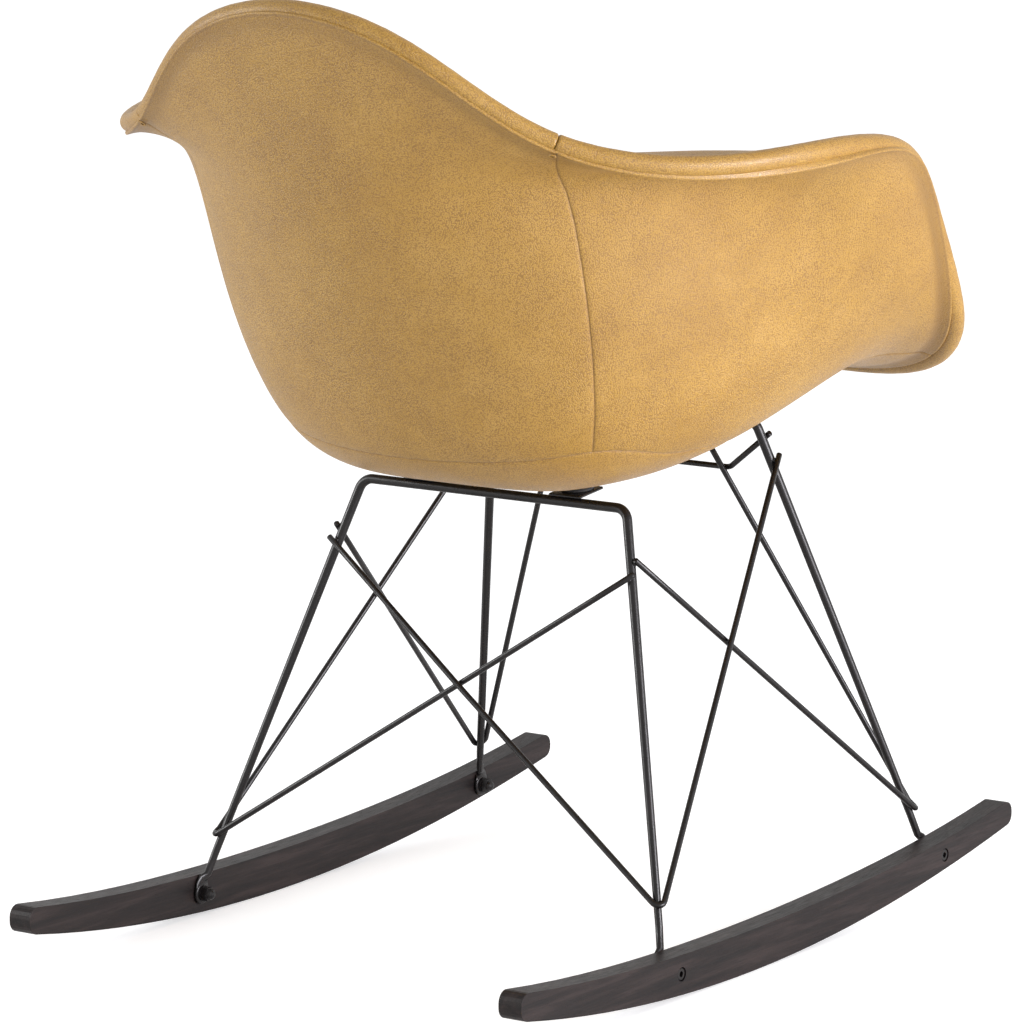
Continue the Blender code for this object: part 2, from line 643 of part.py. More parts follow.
def make_shell(parts, leather, core_material, cover_material, bead_material):
    grid = shell_grid()
    rows = ROWS_BELOW + ROWS_ABOVE
    full = 2 * (COLUMNS_SIDE + COLUMNS_BACK)
    seam_left = COLUMNS_SIDE
    seam_right = full - COLUMNS_SIDE
    front_left = round(FRONT_STATION / SEAM_STATION * COLUMNS_SIDE)
    front_right = full - front_left
    core_depth = LEATHER + LAYER_GAP
    cover_depth = core_depth + CORE + LAYER_GAP
    shell_layer("shell_core", grid, (0, rows - 1), None, core_depth, CORE, (0, 0, 0, 0), parts, core_material)
    shell_layer("seat_cover", grid, (0, rows - 1), None, cover_depth, COVER, (0, 0, 0, 0), parts, cover_material)
    shell_layer("leather_base", grid, (0, ROWS_BELOW), None, 0.0, LEATHER, (0, 1, 0, 0), parts, leather)
    pieces = (("leather_front", front_right, full + front_left), ("leather_side_left", front_left, seam_left),
              ("leather_back", seam_left, seam_right), ("leather_side_right", seam_right, front_right))
    for name, first, last in pieces:
        shell_layer(name, grid, (ROWS_BELOW, rows), (first, last), 0.0, LEATHER, (1, 0, 1, 1), parts, leather)
    joint = 0.018
    for name, start, end, steps in (("rim_back", SEAM_STATION + joint, 2 * HALF_TURN - SEAM_STATION - joint, 26),
                                    ("rim_arms", -SEAM_STATION + joint, SEAM_STATION - joint, 56)):
        run = [rim_roll_run(v) for v in np.linspace(start, end, steps + 1)]
        link(tube(name, [centre for centre, _ in run], [radius for _, radius in run], 2), parts, bead_material)


def centre_on_rockers(collections):
    shift = Matrix.Translation((0.0, -(ROCKER_FRONT + ROCKER_REAR) / 2, 0.0))
    bpy.context.view_layer.update()
    for collection in collections:
        for obj in collection.objects:
            obj.matrix_world = shift @ obj.matrix_world
    bpy.context.view_layer.update()


# ---- build -------------------------------------------------------------------------------------
def build():
    clear_scene()
    parts = new_collection("rocking_armchair")
    tools = new_collection("cutters")
    steel = make_material("black_steel", (0.030, 0.027, 0.029), 0.38, 0.6)
    wood = make_material("dark_wood", (0.050, 0.036, 0.030), 0.55)
    rubber = make_material("black_rubber", (0.020, 0.020, 0.020), 0.80)
    leather = make_material("tan_leather", (0.50, 0.29, 0.09), 0.50)
    bead = make_material("tan_leather_rim", (0.48, 0.28, 0.09), 0.50)
    cover = make_material("tan_leather_inner", (0.50, 0.29, 0.09), 0.50)
    moulding = make_material("moulded_shell", (0.10, 0.10, 0.10), 0.60)
    make_leg_frame("rear_leg_frame", REAR_BAR, REAR_LEAN, REAR_BOLT, parts, tools, steel)
    make_leg_frame("front_leg_frame", FRONT_BAR, FRONT_LEAN, FRONT_BOLT, parts, tools, steel)
    make_crossbar(parts, steel)
    for side in (1, -1):
        make_rocker(side, parts, tools, wood)
        make_rear_brace(side, parts, steel)
        make_front_brace(side, parts, steel)
        make_rocker_fasteners("rear", side, REAR_BOLT, parts, tools, steel)
        make_rocker_fasteners("front", side, FRONT_BOLT, parts, tools, steel)
        make_seat_fixing("rear", side, REAR_BAR, REAR_PLATE_TILT, -0.0130, 0.0021, parts, tools, steel, rubber)
        make_seat_fixing("front", side, FRONT_BAR, FRONT_PLATE_TILT, -0.0100, 0.0022, parts, tools, steel, rubber)
    make_shell(parts, leather, moulding, cover, bead)
    centre_on_rockers((parts, tools))


build()
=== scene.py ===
"""Looks for the rocking armchair: leather shell, steel rods, wooden rockers, light and camera."""
import math

import bmesh
import bpy
import numpy as np
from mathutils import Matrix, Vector


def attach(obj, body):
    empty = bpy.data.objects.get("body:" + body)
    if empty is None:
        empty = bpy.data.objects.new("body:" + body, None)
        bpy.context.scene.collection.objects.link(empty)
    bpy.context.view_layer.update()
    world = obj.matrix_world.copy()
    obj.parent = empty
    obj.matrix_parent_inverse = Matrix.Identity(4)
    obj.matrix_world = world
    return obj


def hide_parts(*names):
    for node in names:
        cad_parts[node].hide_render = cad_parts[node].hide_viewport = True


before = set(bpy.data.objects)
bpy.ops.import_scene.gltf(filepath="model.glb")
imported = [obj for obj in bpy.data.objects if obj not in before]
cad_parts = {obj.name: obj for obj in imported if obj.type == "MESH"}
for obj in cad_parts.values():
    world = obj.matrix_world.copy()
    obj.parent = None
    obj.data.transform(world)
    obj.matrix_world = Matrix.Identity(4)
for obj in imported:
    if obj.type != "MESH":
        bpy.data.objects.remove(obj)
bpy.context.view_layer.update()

# ---- design dimensions, the same as the CAD part's (metres; stations in millimetres) -------------
SHIFT = 0.0473                   # from the rockers' floor contact line to the model's origin
GAP = 0.0003                     # clearance kept between touching pieces
ROCKER_SPACING = 0.4375
ROCKER_THICKNESS = 0.0195
LEG_TOP_RADIUS = 0.0037
LEG_FOOT_RADIUS = 0.0029
WIRE_RADIUS = 0.00225
REAR_BAR = (0.1192, -0.0031, 0.3343)     # corner of the rear frame: half width, Y, height
REAR_LEAN = (0.2889, 0.2804)             # sideways and rearward run of a rear leg per unit of drop
FRONT_BAR = (0.1201, -0.1764, 0.3780)
FRONT_LEAN = (0.2613, -0.3143)
FRAME_BEND_RADIUS = 0.0115
CROSSBAR_MIDDLE = (0.0830, -0.2005, 0.3344)
CROSSBAR_END = (0.1275, -0.1868, 0.3668)
CROSSBAR_BEND_RADIUS = 0.010
REAR_BOLT = (0.0873, 0.0178)     # Y and height
FRONT_BOLT = (-0.2840, 0.0337)
HALF_EYE = 0.0014                # half the thickness of a leg's flattened foot
HOOK_RADIUS = 0.0060             # a brace wire's turn around a leg
BRACE_OFFSET = 0.0063            # from a leg's middle to a brace wire lying against it
REAR_HOOK_HEIGHT = 0.0622
FRONT_HOOK_HEIGHT = 0.0683
REAR_CROSS_HEIGHT = 0.2866       # where a rear hook's wire meets the opposite rear leg
REAR_RISE_HEIGHT = 0.3461        # and the front leg on its own side
FRONT_CROSS_HEIGHT = 0.2975      # where a front hook's wire meets the rear leg on its own side
SHELL_DEPTH = 0.0136             # outer leather to the sitter's side
EDGE_RADIUS = 0.0011             # of the outer leather's turned edge
SEAT_BOTTOM = (0, -50, 345)
# each station climbs from the seat floor to the rim: floor, bend, wall, upper wall, neck, rim
STATIONS = (
    ((0, -146, 377), (0, -196, 398), (0, -248, 402), (0, -295, 396), (0, -319, 393), (0, -343, 401)),
    ((61, -127, 368), (92, -171, 388), (115, -216, 398), (142, -257, 407), (160, -279, 404), (187, -303, 396)),
    ((105, -105, 364), (154, -138, 385), (188, -173, 407), (230, -206, 442), (249, -226, 448), (269, -245, 444)),
    ((132, -78, 362), (187, -97, 392), (221, -118, 434), (266, -141, 494), (282, -160, 515), (283, -176, 544)),
    ((144, -47, 357), (199, -48, 401), (227, -54, 469), (263, -64, 548), (290, -79, 573), (309, -103, 614)),
    ((141, -15, 351), (193, 5, 405), (218, 14, 494), (240, 19, 590), (276, 17, 601), (307, 6, 599)),
    ((125, 18, 347), (169, 54, 397), (196, 78, 498), (204, 101, 602), (229, 107, 610), (257, 118, 593)),
    ((98, 44, 343), (129, 93, 382), (151, 128, 482), (147, 161, 582), (146, 170, 600), (173, 195, 613)),
    ((54, 54, 344), (71, 117, 375), (81, 155, 464), (74, 194, 556), (67, 210, 590), (102, 251, 692)),
    ((0, 55, 346), (0, 126, 373), (0, 163, 455), (0, 205, 546), (0, 225, 590), (0, 268, 722)),
)
# the padded roll at each station: out past the rim edge, in from the outer face, and its radius
ROLL = ((7, 2, 7.0), (6.5, 4.5, 7.2), (-2, 9.5, 7.9), (-2, 10.5, 9.0), (-6, 11.5, 9.6),
        (-10, 10.5, 8.6), (-4.5, 9, 7.2), (-1, 8.5, 6.8), (0, 9.5, 7.8), (-2.5, 10, 8.2))
SEAM_INSET = (5, 7, 8, 3, 0, 0, 0, 0, 0, 0)      # from the rim edge down to the rim's seam
VALLEY_DEPTH = (1.0, 1.5, 2.8, 3.0, 1.6, 0.6, 0.8, 1.2, 1.2, 0.8)    # of the hollow beside that seam
VALLEY_SHADE = (0.6, 1.0, 1.4, 1.4, 0.7, 0.2, 0.4, 0.9, 0.8, 0.6)     # and how much painted shade darkens it
TINTS = ("seam_line", "rim_valley_shade")              # the mesh attributes that darken the leather: dark seam lines, and painted shade in the hollow beside the rim seam
BACK = len(STATIONS) - 1         # the middle of the back, in stations from the front's middle
TURN = 2 * BACK                  # stations all the way round
SEAM = 6.65                      # the upright seams beside the back
FRONT_SEAM = 1.5                 # and beside the front
UPRIGHT_SEAMS = (SEAM, TURN - SEAM, FRONT_SEAM, TURN - FRONT_SEAM)
JOINT = SEAM + 0.265             # where the two rim rolls meet
KNOT = SEAM + 0.255
BASE_REACH = 0.16                # about the run from the base's middle to its seam
WALL_HEIGHT = 0.33               # about the run from there to the rim
STATION_RUN = 0.095              # about the run from one station to the next on the walls
RIM_STATION_RUN = 0.105          # and along the rim

CAMERA_PLACE = (-2.52601, 3.62769 + SHIFT, 1.10490)
CAMERA_AZIMUTH = math.radians(214.645)
CAMERA_ELEVATION = math.radians(10.063)
CAMERA_LENS = 211.885            # millimetres, for a sensor this wide
CAMERA_SENSOR = 36.0
SIDES = ((1, "left"), (-1, "right"))             # the sitter's sides and the sign of their X


# ---- materials -----------------------------------------------------------------------------------
class Nodes:
    """A small helper that adds nodes and wires them."""

    def __init__(self, name):
        self.material = bpy.data.materials.new(name)
        self.material.use_nodes = True
        self.tree = self.material.node_tree
        self.shader = self.tree.nodes["Principled BSDF"]
        self.place = self.tree.nodes.new("ShaderNodeTexCoord").outputs["Object"]

    def add(self, kind, inputs=None, **settings):
        node = self.tree.nodes.new("ShaderNode" + kind)
        for key, value in settings.items():
            setattr(node, key, value)
        for key, value in (inputs or {}).items():
            if isinstance(value, bpy.types.NodeSocket):
                self.tree.links.new(value, node.inputs[key])
            else:
                node.inputs[key].default_value = value
        return node

    def noise(self, scale, detail=3.0, rough=0.5, vector=None, distortion=0.0):
        inputs = {"Vector": vector or self.place, "Scale": scale, "Detail": detail, "Roughness": rough,
                  "Distortion": distortion}
        return self.add("TexNoise", inputs).outputs["Fac"]

    def stretched(self, scale):
        return self.add("Mapping", {"Vector": self.place, "Scale": scale}).outputs["Vector"]

    def cells(self, scale):
        return self.add("TexVoronoi", {"Vector": self.place, "Scale": scale}).outputs["Distance"]

    def math(self, operation, a, b):
        return self.add("Math", {0: a, 1: b}, operation=operation).outputs[0]

    def remap(self, value, low, high, to_low=0.0, to_high=1.0):
        inputs = {"Value": value, "From Min": low, "From Max": high, "To Min": to_low, "To Max": to_high}
        return self.add("MapRange", inputs).outputs[0]

    def ramp(self, value, stops):
        node = self.add("ValToRGB", {"Fac": value})
        elements = node.color_ramp.elements
        while len(elements) < len(stops):
            elements.new(0.5)
        for element, (position, colour) in zip(elements, stops):
            element.position = position
            element.color = (*colour, 1.0)
        return node.outputs["Color"]

    def mix(self, factor, a, b):
        node = self.add("Mix", data_type="RGBA")
        for socket, value in ((node.inputs[0], factor), (node.inputs[6], a), (node.inputs[7], b)):
            if isinstance(value, bpy.types.NodeSocket):
                self.tree.links.new(value, socket)
            elif isinstance(value, tuple):
                socket.default_value = (*value, 1.0)
            else:
                socket.default_value = value
        return node.outputs[2]

    def bump(self, height, distance, strength=1.0, normal=None):
        inputs = {"Height": height, "Distance": distance, "Strength": strength}
        if normal is not None:
            inputs["Normal"] = normal
        return self.add("Bump", inputs).outputs["Normal"]

    def set(self, **values):
        for key, value in values.items():
            socket = self.shader.inputs[key.replace("_", " ")]
            if isinstance(value, bpy.types.NodeSocket):
                self.tree.links.new(value, socket)
            else:
                socket.default_value = value
        return self.material


def leather_material(name, tinted):
    """Waxed tan leather: cloudy tone, pebbled grain with dark creases, painted sheen on the pebbles' crowns, a
    faint pink sheen, and, when tinted, dark seam lines and painted shade in the hollow beside the rim seam.
    """
    m = Nodes(name)
    cloud = m.noise(8.0, 4.0, 0.55, distortion=0.4)
    blotch = m.noise(30.0, 4.0, 0.60, distortion=0.8)
    tone = m.math("ADD", m.math("MULTIPLY", cloud, 0.5), m.math("MULTIPLY", blotch, 0.5))
    colour = m.ramp(tone, ((0.38, (0.345, 0.180, 0.010)), (0.50, (0.385, 0.208, 0.016)),
                           (0.62, (0.425, 0.238, 0.030))))
    pebble = m.cells(1000.0)
    fine = m.noise(1200.0, 2.0, 0.6)
    patch = m.remap(m.noise(28.0, 3.0, 0.6), 0.38, 0.60, 0.80, 1.0)
    crease = m.math("MULTIPLY", m.remap(pebble, 0.44, 0.64, 0.0, 1.0), patch)
    speck = m.math("MULTIPLY", m.remap(fine, 0.54, 0.66, 0.0, 1.0), patch)
    colour = m.mix(m.math("MULTIPLY", crease, 0.75), colour, (0.190, 0.088, 0.012))
    colour = m.mix(m.math("MULTIPLY", speck, 0.25), colour, (0.130, 0.060, 0.006))
    # painted sheen: the pebbles' crowns are lightened to a pinkish highlight
    painted_crown_sheen = m.math("MULTIPLY", m.remap(pebble, 0.30, 0.08, 0.0, 1.0), 0.50)
    colour = m.mix(painted_crown_sheen, colour, (0.480, 0.300, 0.125))
    height = m.math("SUBTRACT", m.math("MULTIPLY", fine, 0.5), crease)
    rough = m.remap(m.math("ADD", blotch, m.math("MULTIPLY", crease, 0.25)), 0.35, 0.85, 0.38, 0.50)
    if tinted:
        line, valley = [m.add("Attribute", attribute_name=tint).outputs["Fac"] for tint in TINTS]
        # painted shade: the hollow beside the rim seam is darkened in colour
        colour = m.mix(m.math("MULTIPLY", valley, 0.70), colour, (0.200, 0.098, 0.006))
        colour = m.mix(m.math("MULTIPLY", line, 0.45), colour, (0.120, 0.056, 0.012))
    soft = m.bump(m.noise(20.0, 2.0, 0.5), 0.0009, 0.30)
    normal = m.bump(height, 0.00022, 0.80, soft)
    return m.set(Base_Color=colour, Roughness=rough, Normal=normal, Specular_IOR_Level=0.78,
                 Sheen_Weight=0.08, Sheen_Roughness=0.40, Sheen_Tint=(1.0, 0.74, 0.66, 1.0))


def steel_material():
    """Black stoved steel: faint orange peel over a dark satin coat."""
    m = Nodes("black_steel_fine")
    streak = m.noise(70.0, 4.0, 0.6, vector=m.stretched((1.0, 1.0, 0.15)))
    colour = m.ramp(streak, ((0.35, (0.005, 0.004, 0.004)), (0.60, (0.008, 0.0065, 0.0065)),
                             (0.78, (0.016, 0.013, 0.013))))
    peel = m.bump(m.noise(500.0, 2.0, 0.5), 0.00002, 0.4)
    rough = m.remap(m.noise(160.0, 3.0, 0.6), 0.3, 0.7, 0.24, 0.36)
    return m.set(Base_Color=colour, Roughness=rough, Metallic=0.0, Normal=peel, Specular_IOR_Level=0.38)


def wood_material():
    """Dark stained ash: long fine open grain along the rocker."""
    m = Nodes("dark_wood_fine")
    along = m.stretched((46.0, 2.6, 46.0))
    figure = m.noise(3.4, 5.0, 0.60, vector=along, distortion=0.4)
    fibre = m.noise(20.0, 4.0, 0.70, vector=along)
    colour = m.ramp(figure, ((0.34, (0.005, 0.0035, 0.0035)), (0.50, (0.011, 0.007, 0.0065)),
                             (0.64, (0.022, 0.0145, 0.0135))))
    pore = m.remap(fibre, 0.58, 0.72, 0.0, 1.0)
    colour = m.mix(m.math("MULTIPLY", pore, 0.55), colour, (0.008, 0.005, 0.005))
    height = m.math("SUBTRACT", m.math("MULTIPLY", figure, 0.4), pore)
    normal = m.bump(height, 0.00022, 0.6)
    rough = m.remap(fibre, 0.3, 0.7, 0.36, 0.56)
    return m.set(Base_Color=colour, Roughness=rough, Normal=normal, Specular_IOR_Level=0.27)


def rubber_material():
    """Dull black rubber with a little dust."""
    m = Nodes("black_rubber_fine")
    dust = m.noise(300.0, 4.0, 0.6)
    colour = m.ramp(dust, ((0.3, (0.012, 0.012, 0.012)), (0.7, (0.026, 0.026, 0.027))))
    return m.set(Base_Color=colour, Roughness=m.remap(dust, 0.3, 0.7, 0.70, 0.88),
                 Normal=m.bump(dust, 0.00008, 0.5))


# ---- building helpers ----------------------------------------------------------------------------
def new_object(name, mesh, material):
    mesh.materials.clear()
    mesh.materials.append(material)
    obj = bpy.data.objects.new(name, mesh)
    bpy.context.scene.collection.objects.link(obj)
    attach(obj, "root")
    return obj


def mesh_from_grid(name, points, wrap=False):
    """A quad mesh from rows by columns of points; wrap joins the last column to the first."""
    rows, columns = points.shape[:2]
    mesh = bpy.data.meshes.new(name)
    index = np.arange(rows * columns).reshape(rows, columns)
    if wrap:
        index = np.concatenate([index, index[:, :1]], axis=1)
    corners = (index[:-1, :-1], index[:-1, 1:], index[1:, 1:], index[1:, :-1])
    quads = np.stack(corners, axis=-1).reshape(-1, 4)
    flat = points[..., :3].reshape(-1, 3) + np.array([0.0, SHIFT, 0.0])
    mesh.from_pydata(flat.tolist(), [], quads.tolist())
    if points.shape[-1] > 3:
        for channel, tint in enumerate(TINTS, start=3):
            layer = mesh.attributes.new(tint, "FLOAT", "POINT")
            layer.data.foreach_set("value", points[..., channel].ravel().astype(np.float32))
    mesh.update()
    mesh.shade_smooth()
    return mesh


def close_ends(mesh):
    """Caps a tube's open ends and turns its faces outwards."""
    bm = bmesh.new()
    bm.from_mesh(mesh)
    bmesh.ops.holes_fill(bm, edges=[e for e in bm.edges if e.is_boundary], sides=0)
    bmesh.ops.recalc_face_normals(bm, faces=bm.faces)
    bm.to_mesh(mesh)
    bm.free()


def ellipse(centre, side, other, thin, wide, count):
    """A ring of points around centre, thin along side and wide along other."""
    angles = [2 * math.pi * k / count for k in range(count)]
    return [tuple(centre + side * thin * math.cos(a) + other * wide * math.sin(a)) for a in angles]


def swept_rings(stations, side, count):
    """Rings along (point, thin, wide) stations, carried parallel so that the rod never twists."""
    rings = []
    for i, (point, thin, wide) in enumerate(stations):
        before = stations[max(i - 1, 0)][0]
        after = stations[min(i + 1, len(stations) - 1)][0]
        tangent = (after - before).normalized()
        side = (side - tangent * side.dot(tangent)).normalized()
        rings.append(ellipse(point, side, tangent.cross(side), thin, wide, count))
    return np.array(rings)


def swept_tube(name, centres, radii, count, material, up=(0, 0, 1)):
    """A round rod with capped ends."""
    side = (centres[1] - centres[0]).normalized().cross(Vector(up)).normalized()
    rings = swept_rings([(c, r, r) for c, r in zip(centres, radii)], side, count)
    mesh = mesh_from_grid(name, rings, wrap=True)
    close_ends(mesh)
    mesh.set_sharp_from_angle(angle=math.radians(50))
    return new_object(name, mesh, material)


def fillet(before, corner, after, radius, steps):
    """Points on an arc that rounds a corner off."""
    before, corner, after = Vector(before), Vector(corner), Vector(after)
    to_before = (before - corner).normalized()
    to_after = (after - corner).normalized()
    half = to_before.angle(to_after) / 2
    centre = corner + (to_before + to_after).normalized() * (radius / math.sin(half))
    start = (corner + to_before * (radius / math.tan(half)) - centre).normalized()
    end = (corner + to_after * (radius / math.tan(half)) - centre).normalized()
    return [centre + start.slerp(end, i / steps).normalized() * radius for i in range(steps + 1)]


def leg_point(bar, lean, side, z, out=(0.0, 0.0)):
    """The middle of a leg at a height, or a point beside it."""
    drop = bar[2] - z
    return Vector((side * (bar[0] + lean[0] * drop + out[0]), bar[1] + lean[1] * drop + out[1], z))


def mirrored(point):
    return Vector((-point[0], point[1], point[2]))


# ---- shell surface -------------------------------------------------------------------------------
def ease(t):
    """A smooth step from 0 to 1."""
    return t * t * (3 - 2 * t)


def clamped_weights(count, t):
    """Cubic B-spline weights of count points, clamped at both ends, for an array t in 0..1."""
    knots = np.array([0.0] * 3 + list(np.linspace(0, 1, count - 2)) + [1.0] * 3)
    t = np.clip(t, 0.0, 1.0 - 1e-9)[..., None]
    weights = ((t >= knots[:-1]) & (t < knots[1:])).astype(float)
    for degree in (1, 2, 3):
        size = weights.shape[-1] - 1
        start, end = knots[:size], knots[degree + 1:degree + 1 + size]
        left = knots[degree:degree + size] - start
        right = end - knots[1:1 + size]
        rise = np.where(left > 0, (t - start) / np.where(left > 0, left, 1), 0)
        fall = np.where(right > 0, (end - t) / np.where(right > 0, right, 1), 0)
        weights = rise * weights[..., :-1] + fall * weights[..., 1:]
    return weights


def ring_weights(count, t):
    """Cubic B-spline weights of count points around a closed ring, for an array t of stations."""
    base = np.floor(t).astype(int)
    f = t - base
    blend = ((1 - f) ** 3 / 6, (3 * f ** 3 - 6 * f * f + 4) / 6,
             (-3 * f ** 3 + 3 * f * f + 3 * f + 1) / 6, f ** 3 / 6)
    weights = np.zeros(t.shape + (count,))
    for offset, value in zip((-1, 0, 1, 2), blend):
        index = ((base + offset) % count)[..., None]
        summed = np.take_along_axis(weights, index, -1) + value[..., None]
        np.put_along_axis(weights, index, summed, -1)
    return weights


def shell_cage():
    """The cage of the outer surface: two rings of points in the base, then the stations' points."""
    bottom = np.array(SEAT_BOTTOM, float)
    half = []
    for station in STATIONS:
        near = bottom + 0.40 * (np.array(station[0], float) - bottom)
        near[2] = bottom[2] - 0.06 * (near[1] - bottom[1])
        half.append([bottom, near] + [np.array(p, float) for p in station])
    half = np.array(half)
    other_half = half[1:-1][::-1] * np.array([-1, 1, 1])
    return np.concatenate([half, other_half]) / 1000.0


CAGE = shell_cage()


def surface(u, v):
    """Outer surface points for arrays u (0 seat bottom .. 1 rim) and v (stations)."""
    along = clamped_weights(CAGE.shape[1], u)
    across = ring_weights(CAGE.shape[0], v)
    return np.einsum("...i,...j,ijk->...k", across, along, CAGE)


def derivatives(u, v):
    """The surface's slopes along u and v, and its outward normal."""
    u = np.maximum(u, 0.004)
    high, low = np.minimum(u + 0.002, 1.0), u - 0.002
    du = (surface(high, v) - surface(low, v)) / (high - low)[..., None]
    dv = (surface(u, v + 0.01) - surface(u, v - 0.01)) / 0.02
    normal = np.cross(dv, du)
    return du, dv, normal / np.linalg.norm(normal, axis=-1, keepdims=True)


def by_station(v, column):
    """A softly blended value along the rim from one number in millimetres for each station."""
    places = np.asarray(v)[..., None] + np.linspace(-0.4, 0.4, 5)
    stations = BACK - np.abs(places % TURN - BACK)
    return np.interp(stations, range(len(column)), column).mean(axis=-1) / 1000.0


def roll_section(v):
    """The roll's place past the edge, its place in from the outer face and its radius."""
    return [by_station(v, column) for column in zip(*ROLL)]


def roll_centre(v, out, normal):
    """The middle of the rim roll, out past the rim's edge and in from the outer face."""
    past, inward, _ = roll_section(v)
    return surface(np.ones_like(v), v) + out * past[..., None] - normal * inward[..., None]


def rim_frames(v):
    """Roll centres, their outward and upward directions and the radius for an array of stations."""
    du, _, normal = derivatives(np.ones_like(v), v)
    out = du / np.linalg.norm(du, axis=-1, keepdims=True)
    return roll_centre(v, out, normal), out, normal, roll_section(v)[2]


def base_seam(v):
    """The u of the seam between the base and the walls."""
    away = np.clip((np.abs(v - BACK) - 2.1) / 2.1, 0.0, 1.0)
    return 0.373 - 0.073 * ease(away)


def seam_lean(u):
    """How far the upright seam strays from its station as it climbs."""
    heights = (0.0, 0.45, 0.60, 0.76, 0.84, 0.93, 1.0)
    return np.interp(u, heights, (-0.05, -0.05, 0.0, 0.03, 0.07, 0.16, 0.24))


def seam_side(w):
    """1 on the upright seam left of the back, -1 on the right one, falling softly to 0 between."""
    near_left, near_right = [np.clip(1 - np.abs(w - seam) / 1.6, 0, 1) for seam in (SEAM, TURN - SEAM)]
    return ease(near_left) - ease(near_right)


def graded(start, end, length, step, fine_start, fine_end):
    """Values from start to end whose real spacing is step, drawn close together near seams."""
    near = []
    spacing = 0.00035
    while spacing < length * 0.45 and (len(near) < 2 or near[-1] - near[-2] < step):
        near.append((near[-1] if near else 0.0) + spacing)
        spacing *= 1.45
    low = near if fine_start else []
    high = [length - mark for mark in reversed(near)] if fine_end else []
    first = low[-1] if low else 0.0
    last = high[0] if high else length
    count = max(int(round((last - first) / step)), 1)
    middle = [first + (last - first) * i / count for i in range(1, count)]
    marks = [0.0] + low + middle + high + [length]
    return [start + (end - start) * mark / length for mark in marks]


# ---- leather -------------------------------------------------------------------------------------
def sheet_rows(step):
    """Row numbers from the base's middle, 0, over its seam, 1, to the rim, 2; and the seam's row."""
    below = graded(0.0, 1.0, BASE_REACH, step, False, True)
    above = graded(1.0, 2.0, WALL_HEIGHT, step, True, True)
    return np.array(below[1:] + above[1:]), len(below) - 2


def sheet_columns(step):
    """Stations all the way round, and the columns where each stretch between seams ends."""
    stops = (0.0, FRONT_SEAM, SEAM, BACK, TURN - SEAM, TURN - FRONT_SEAM, TURN)
    fine = (False, True, True, False, True, True, False)
    columns = [0.0]
    marks = []
    for i in range(len(stops) - 1):
        span = (stops[i + 1] - stops[i]) * STATION_RUN
        columns += graded(stops[i], stops[i + 1], span, step * 1.15, fine[i], fine[i + 1])[1:]
        marks.append(len(columns) - 1)
    return np.array(columns[:-1]), marks


def sheet_top(w, inner):
    """The u where a sheet ends: the inner one well inside the rim roll, the outer one at its seam."""
    height = np.linalg.norm(derivatives(np.ones_like(w), w)[0], axis=-1)
    if inner:
        inset = 0.002 + np.maximum(-roll_section(w)[0], 0.0)
    else:
        inset = by_station(w, SEAM_INSET)
    return 1.0 - inset / height


def seam_groove(distance, depth, shoulder):
    """A sharp groove along a seam, inside a wide and shallow one."""
    away = np.abs(distance)
    return -depth * (np.exp(-away / 0.0010) + 0.30 * np.exp(-away / shoulder))


def pucker(run, pitch, distance, reach):
    """The small waves that stitches draw along a seam."""
    return np.sin(run * 2 * math.pi / pitch) * np.exp(-np.abs(distance) / reach)


def thin_line(distance):
    return np.exp(-(distance / 0.0008) ** 2)


def seam_relief(r, w, from_base, from_upright, above, depth):
    """How far the leather sinks along the base seam and the upright seams."""
    relief = seam_groove(from_base, depth, 0.0050)
    for distance in from_upright:
        stitches = 0.00010 * pucker(r * WALL_HEIGHT, 0.0052, distance, 0.0035)
        relief = relief + (seam_groove(distance, depth, 0.0045) + stitches) * above
    return relief + 0.00012 * pucker(w * STATION_RUN, 0.0060, from_base, 0.003)


def turned_edge(edge, v, out, normal, inner):
    """Rows that carry a sheet's edge on until it ends inside the rim roll."""
    middle = roll_centre(v, out, normal)
    if inner:
        return [edge * 0.5 + middle * 0.5]
    curl = []
    for angle in np.radians((22, 45, 67, 90)):
        curl.append(edge + (out * math.sin(angle) - normal * (1 - math.cos(angle))) * EDGE_RADIUS)
    inside = curl[-1] - normal * 0.0010
    return curl + [inside, inside * 0.3 + middle * 0.7]


def shell_sheet(depth, seam_depth, step):
    """One side of the shell as a grid of points and tints, its base seam's row and its seam columns."""
    inner = depth > 0
    rows, seam_row = sheet_rows(step)
    columns, marks = sheet_columns(step)
    r, w = np.meshgrid(rows, columns, indexing="ij")
    top = sheet_top(w, inner)
    split = base_seam(w)
    u = np.where(r <= 1.0, split * r, split + (top - split) * (r - 1.0))
    v = w + seam_lean(u) * seam_side(w)
    du, dv, normal = derivatives(u, v)
    long_u = np.linalg.norm(du, axis=-1)
    long_v = np.linalg.norm(dv, axis=-1)
    from_base = (u - split) * long_u
    from_rim = (top - u) * long_u
    from_upright = [(w - seam) * long_v for seam in UPRIGHT_SEAMS]
    above = np.clip(from_base / 0.002, 0.0, 1.0)
    valley = np.exp(-((from_rim - 0.0075) / 0.0060) ** 2)
    relief = seam_relief(r, w, from_base, from_upright, above, seam_depth)
    relief -= by_station(w, VALLEY_DEPTH) * valley
    lift = -depth - relief if inner else relief
    points = surface(u, v) + normal * lift[..., None]
    line = thin_line(from_base) + thin_line(from_rim - 0.0013)
    line += sum(thin_line(distance) for distance in from_upright) * above
    # painted shade: how much the hollow beside the rim seam is darkened in colour
    tone = by_station(w, VALLEY_SHADE) * 1000.0
    tints = np.stack([np.clip(line, 0, 1), valley * tone], axis=-1)
    curl = turned_edge(points[-1], v[-1], du[-1] / long_u[-1][:, None], normal[-1], inner)
    points = np.concatenate([points, np.array(curl)], axis=0)
    tints = np.concatenate([tints, np.zeros((len(curl),) + tints.shape[1:])], axis=0)
    return np.concatenate([points, tints], axis=-1), seam_row, marks


